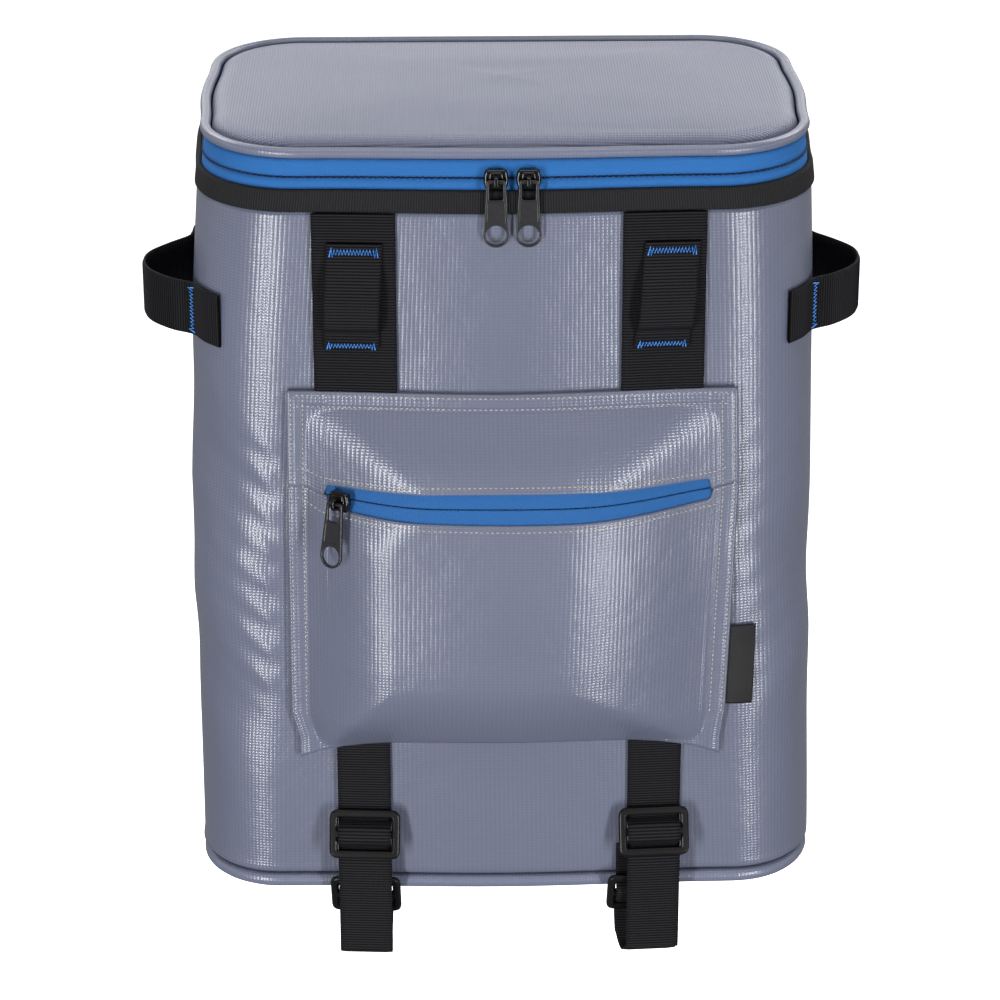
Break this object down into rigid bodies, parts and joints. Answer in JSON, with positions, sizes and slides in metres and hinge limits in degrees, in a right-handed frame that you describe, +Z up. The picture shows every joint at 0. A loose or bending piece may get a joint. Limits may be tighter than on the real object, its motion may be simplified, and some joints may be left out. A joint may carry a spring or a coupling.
{
  "type": "cooler backpack",
  "caption": "Insulated cooler backpack with a zipped lid, a front zip pocket, webbing loops, adjustable lower straps and padded shoulder straps.",
  "frame": {"origin": "middle of the back pad's outer face, where it lies on the wearer's back", "axes": "+Z up, -Y out of the pack's front, +Y towards the wearer, +X to the right as seen from the front"},
  "size_m": [0.3364, 0.3465, 0.4164],
  "materials": {
    "tarpaulin": "grey coated fabric with a fine woven grain, semi-gloss",
    "piping": "grey coated piping, semi-gloss",
    "zip_tape": "blue woven zip tape, matt",
    "zip_coil": "blue nylon coil",
    "webbing": "black ribbed webbing, matt",
    "binding": "black woven binding tape, matt",
    "zip_hardware": "black gloss enamel",
    "strap_hardware": "black moulded plastic",
    "label": "plain black woven label",
    "padding": "dark grey padded fabric, matt"
  },
  "bodies": {
    "pack": {"body_shell": "tarpaulin", "lid_panel": "tarpaulin", "lid_hinge": "tarpaulin", "front_pocket": "tarpaulin", "base_piping": "piping", "lid_piping": "piping", "zip_tape_lower": "zip_tape", "zip_tape_upper": "zip_tape", "pocket_tape_upper": "zip_tape", "pocket_tape_lower": "zip_tape", "zip_coil": "zip_coil", "pocket_coil": "zip_coil", "rim_binding": "binding", "label_tag": "label", "lid_slider_left": "zip_hardware", "lid_slider_right": "zip_hardware", "pocket_slider": "zip_hardware", "front_webbing_left": "webbing", "front_webbing_right": "webbing", "gear_loop_left": "webbing", "gear_loop_right": "webbing", "side_loop_left": "webbing", "side_loop_right": "webbing", "lower_strap_left": "webbing", "lower_strap_right": "webbing", "shoulder_web_left": "webbing", "shoulder_web_right": "webbing", "haul_loop": "webbing", "front_slider_left": "strap_hardware", "front_slider_right": "strap_hardware", "rear_slider_left": "strap_hardware", "rear_slider_right": "strap_hardware", "shoulder_slider_left": "strap_hardware", "shoulder_slider_right": "strap_hardware", "back_pad": "padding", "shoulder_strap_left": "padding", "shoulder_strap_right": "padding"},
    "lid_pull_left": {"lid_pull_left": "zip_hardware"},
    "lid_pull_right": {"lid_pull_right": "zip_hardware"},
    "pocket_pull": {"pocket_pull": "zip_hardware"}
  },
  "joints": [
    {"name": "lid_pull_left_hinge", "type": "hinge", "parent": "pack", "child": "lid_pull_left", "pos_m": [-0.00599, -0.20741, 0.1904], "axis": [-1, 0, 0], "range_deg": [0, 150]},
    {"name": "lid_pull_right_hinge", "type": "hinge", "parent": "pack", "child": "lid_pull_right", "pos_m": [0.00858, -0.20735, 0.1904], "axis": [-1, 0, 0], "range_deg": [0, 150]},
    {"name": "pocket_pull_hinge", "type": "hinge", "parent": "pack", "child": "pocket_pull", "pos_m": [-0.08022, -0.21776, 0.03909], "axis": [-0.8346, 0.5508, 0], "range_deg": [0, 140]}
  ]
}
